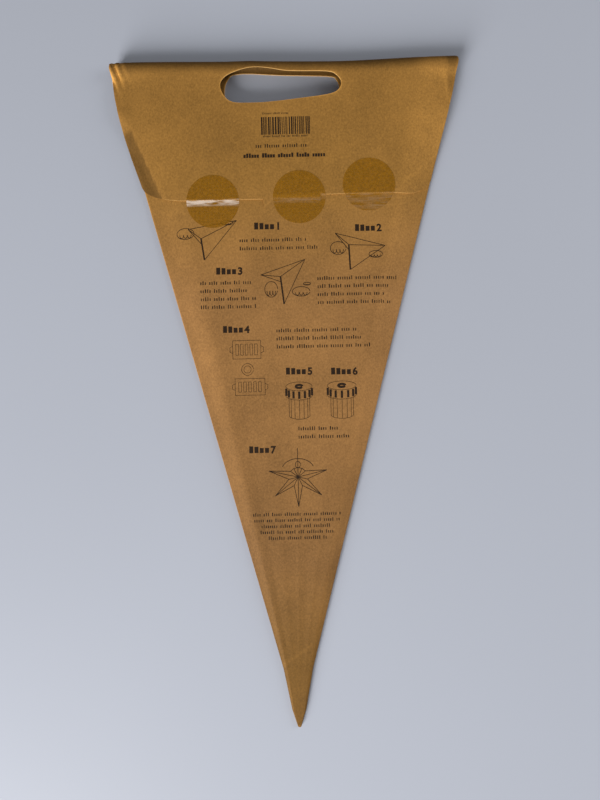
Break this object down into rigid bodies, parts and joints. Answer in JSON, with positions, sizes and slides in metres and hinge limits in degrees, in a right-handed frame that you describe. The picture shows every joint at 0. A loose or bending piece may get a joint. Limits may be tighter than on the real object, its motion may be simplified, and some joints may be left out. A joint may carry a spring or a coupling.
{
  "type": "tapered card lamp pack",
  "caption": "Flat, tapered kraft card pack for a folded paper star lamp, with a hand slot and a flap held by round film seals.",
  "frame": {"origin": "middle of the pack's outline, on the surface it lies on", "axes": "+Y from the pointed tip towards the handle end, +Z out of the printed front, +X across the pack"},
  "size_m": [0.2084, 0.4, 0.0096],
  "materials": {
    "kraft_card": "matte",
    "seal_film": "gloss"
  },
  "bodies": {
    "root": {"card_sleeve": "kraft_card", "seal_left": "seal_film", "seal_middle": "seal_film", "seal_right": "seal_film"}
  },
  "joints": []
}
